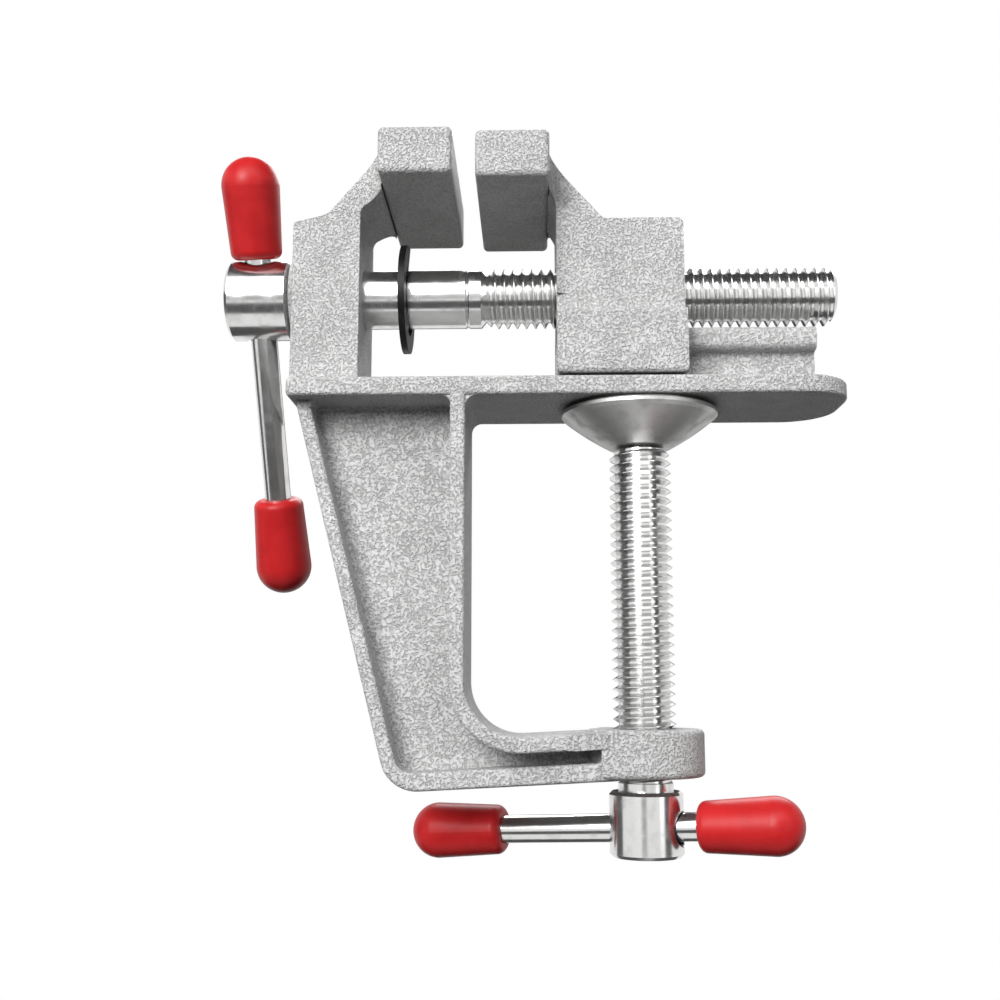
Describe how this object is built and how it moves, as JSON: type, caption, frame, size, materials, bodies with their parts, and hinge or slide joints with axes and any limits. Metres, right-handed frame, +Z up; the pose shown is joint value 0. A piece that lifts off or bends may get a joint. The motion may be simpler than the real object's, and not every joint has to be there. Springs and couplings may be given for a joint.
{
  "type": "clamp-on table vise",
  "caption": "Clamp-on C-frame table vise: a screw drives a sliding jaw along a rail, and a clamp screw with a swivel pad grips the table edge. Sliding bar handles have domed grips.",
  "frame": {"origin": "underside of the table plate on the axis of the clamp screw", "axes": "+X along the main screw away from its head, the way the moving jaw opens; +Z up; -Y is the side seen in the picture"},
  "size_m": [0.1152, 0.0423, 0.1301],
  "materials": {
    "cast_aluminium": "bead-blasted casting, fine pebbled grain, matte",
    "bright_steel": "bright zinc-nickel plated steel, turned and polished",
    "nickel_plate": "nickel plated, satin, faint turning rings",
    "black_spring_steel": "black oxide spring steel",
    "red_grip": "dip-moulded soft vinyl, smooth and glossy"
  },
  "bodies": {
    "frame": {"frame_casting": "cast_aluminium"},
    "moving_jaw": {"moving_jaw": "cast_aluminium"},
    "main_screw": {"main_screw": "bright_steel", "retaining_clip": "black_spring_steel"},
    "main_handle": {"main_handle_bar": "bright_steel", "main_handle_grip_upper": "red_grip", "main_handle_grip_lower": "red_grip"},
    "pad_carrier": {"pad_snap_ring": "black_spring_steel"},
    "clamp_screw": {"clamp_screw": "bright_steel"},
    "clamp_pad": {"clamp_pad": "nickel_plate"},
    "clamp_handle": {"clamp_handle_bar": "bright_steel", "clamp_handle_grip_left": "red_grip", "clamp_handle_grip_right": "red_grip"}
  },
  "joints": [
    {"name": "main_screw_turn", "type": "hinge", "parent": "frame", "child": "main_screw", "pos_m": [-0.0715, 0, 0.0215], "axis": [1, 0, 0], "range_deg": [-6235, 835]},
    {"name": "moving_jaw_slide", "type": "slide", "parent": "frame", "child": "moving_jaw", "axis": [1, 0, 0], "range_m": [-0.00405, 0.0303]},
    {"name": "main_bar_slide", "type": "slide", "parent": "main_screw", "child": "main_handle", "axis": [-0.0419, -0.3417, 0.9389], "range_m": [0, 0.0305]},
    {"name": "clamp_travel", "type": "slide", "parent": "frame", "child": "pad_carrier", "axis": [0, 0, 1], "range_m": [-0.05, 0]},
    {"name": "clamp_screw_turn", "type": "hinge", "parent": "pad_carrier", "child": "clamp_screw", "pos_m": [0, 0, -0.0048], "axis": [0, 0, 1], "range_deg": [-10287, 0]},
    {"name": "pad_tilt", "type": "hinge", "parent": "pad_carrier", "child": "clamp_pad", "pos_m": [0, 0, -0.0048], "axis": [0, 1, 0], "range_deg": [-1.2, 1.2]},
    {"name": "clamp_bar_slide", "type": "slide", "parent": "clamp_screw", "child": "clamp_handle", "axis": [0.9385, -0.3416, 0.0506], "range_m": [-0.0025, 0.02]}
  ],
  "couplings": [
    {"joint": "main_screw_turn", "follows": "moving_jaw_slide", "rad_per_m": -3590.4},
    {"joint": "clamp_screw_turn", "follows": "clamp_travel", "rad_per_m": 3590.4}
  ]
}
